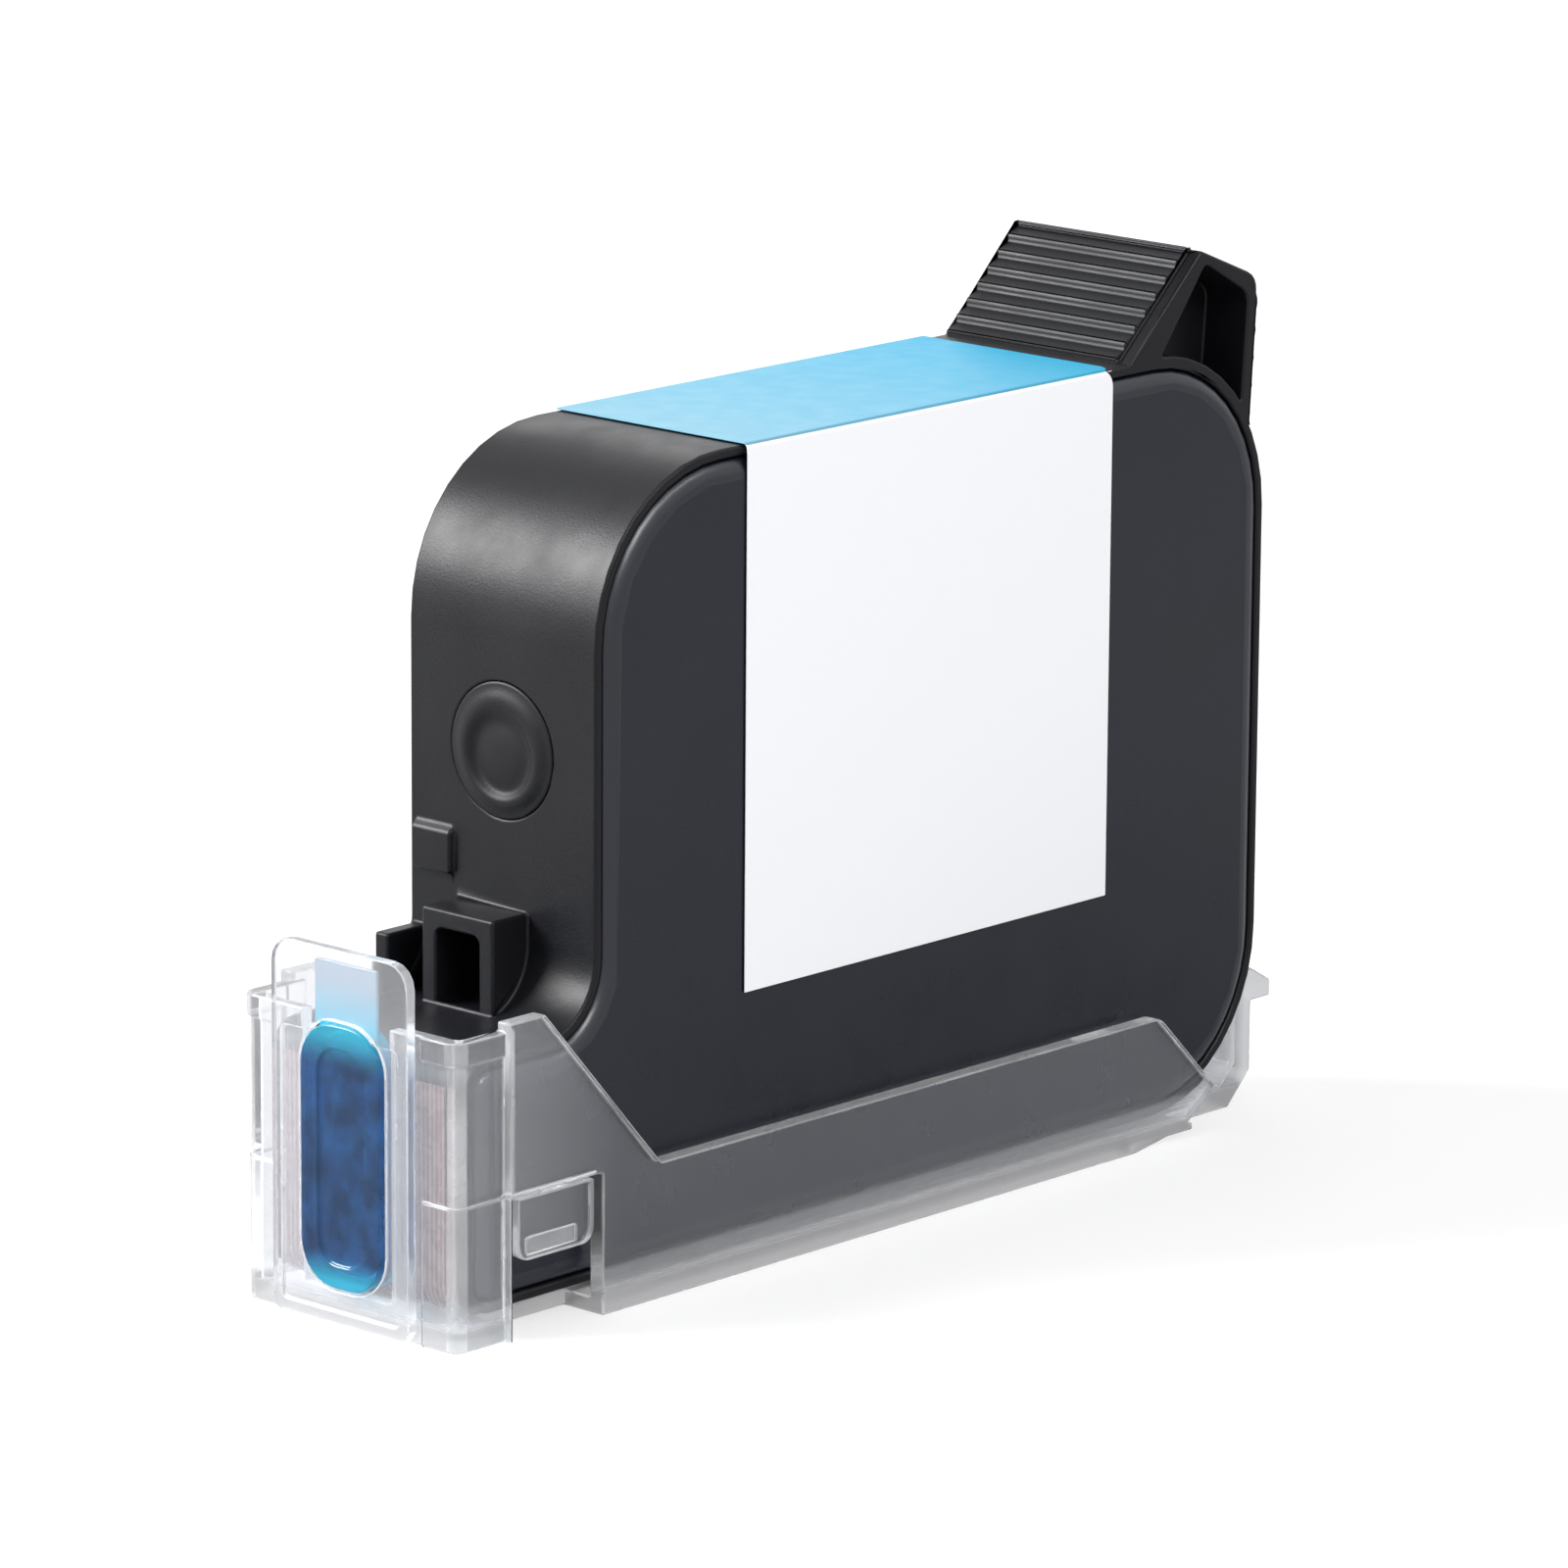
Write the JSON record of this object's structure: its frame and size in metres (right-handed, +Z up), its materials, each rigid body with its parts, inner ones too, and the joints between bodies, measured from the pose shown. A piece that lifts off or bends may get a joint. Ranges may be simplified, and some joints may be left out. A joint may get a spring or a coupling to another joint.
{
  "type": "inkjet print cartridge in storage clip",
  "caption": "Flat inkjet print cartridge with a ribbed handle, a sprung ink bag and a print head on its snout, held in a clear storage clip with a soft nozzle seal.",
  "frame": {"origin": "middle of the bounding box at the level of the clip's base", "axes": "+X along the cartridge from the snout to the handle end, +Z up, -Y towards the labelled side"},
  "size_m": [0.1196, 0.0288, 0.0877],
  "materials": {
    "body_black": "fine satin texture, moulded",
    "cover_black": "smooth satin, moulded",
    "natural_polymer": "natural polymer, moulded",
    "bag_film": "metallised film",
    "spring_steel": "rolled strip",
    "filter_mesh": "woven wire cloth",
    "port_plug": "satin, pressed in",
    "silicon": "sawn silicon",
    "nozzle_gold": "plated foil",
    "bead_resin": "cured resin bead",
    "polyimide": "amber film with copper tracks",
    "label_paper": "coated sticker, white side and pale blue top",
    "clear_plastic": "clear, moulded, polished",
    "seal_blue": "translucent elastomer"
  },
  "bodies": {
    "clip": {"clip_shell": "clear_plastic"},
    "cartridge": {"pen_frame": "body_black", "side_cover_front": "cover_black", "side_cover_rear": "cover_black", "inner_frame": "natural_polymer", "ink_film_front": "bag_film", "ink_film_rear": "bag_film", "bow_spring": "spring_steel", "ink_filter": "filter_mesh", "fill_plug": "port_plug", "printhead_die": "silicon", "nozzle_plate": "nozzle_gold", "bead_lower": "bead_resin", "bead_upper": "bead_resin", "flex_circuit": "polyimide", "label": "label_paper"},
    "plate_front": {"pressure_plate_front": "spring_steel"},
    "plate_rear": {"pressure_plate_rear": "spring_steel"},
    "seal_plate": {"seal_carrier": "clear_plastic", "nozzle_seal": "seal_blue"},
    "latch_front": {"latch_front": "clear_plastic"},
    "latch_rear": {"latch_rear": "clear_plastic"}
  },
  "joints": [
    {"name": "cartridge_release", "type": "hinge", "parent": "clip", "child": "cartridge", "pos_m": [0.05545, 0, 0.014], "axis": [0, 1, 0], "range_deg": [0, 30]},
    {"name": "seal_plate_flex", "type": "hinge", "parent": "clip", "child": "seal_plate", "pos_m": [-0.0593, 0, 0.0012], "axis": [0, -1, 0], "range_deg": [0, 8], "stiffness_Nm_per_rad": 0.5},
    {"name": "latch_front_flex", "type": "hinge", "parent": "clip", "child": "latch_front", "pos_m": [-0.0463, -0.0136, 0.01335], "axis": [-1, 0, 0], "range_deg": [0, 12], "stiffness_Nm_per_rad": 0.05},
    {"name": "latch_rear_flex", "type": "hinge", "parent": "clip", "child": "latch_rear", "pos_m": [-0.0463, 0.0136, 0.01335], "axis": [1, 0, 0], "range_deg": [0, 12], "stiffness_Nm_per_rad": 0.05},
    {"name": "plate_front_travel", "type": "slide", "parent": "cartridge", "child": "plate_front", "axis": [0, 1, 0], "range_m": [0, 0.0035], "stiffness_N_per_m": 150, "deforming": ["bow_spring"]},
    {"name": "plate_rear_travel", "type": "slide", "parent": "cartridge", "child": "plate_rear", "axis": [0, -1, 0], "range_m": [0, 0.0035]}
  ],
  "couplings": [
    {"joint": "plate_rear_travel", "follows": "plate_front_travel", "ratio": 1}
  ]
}
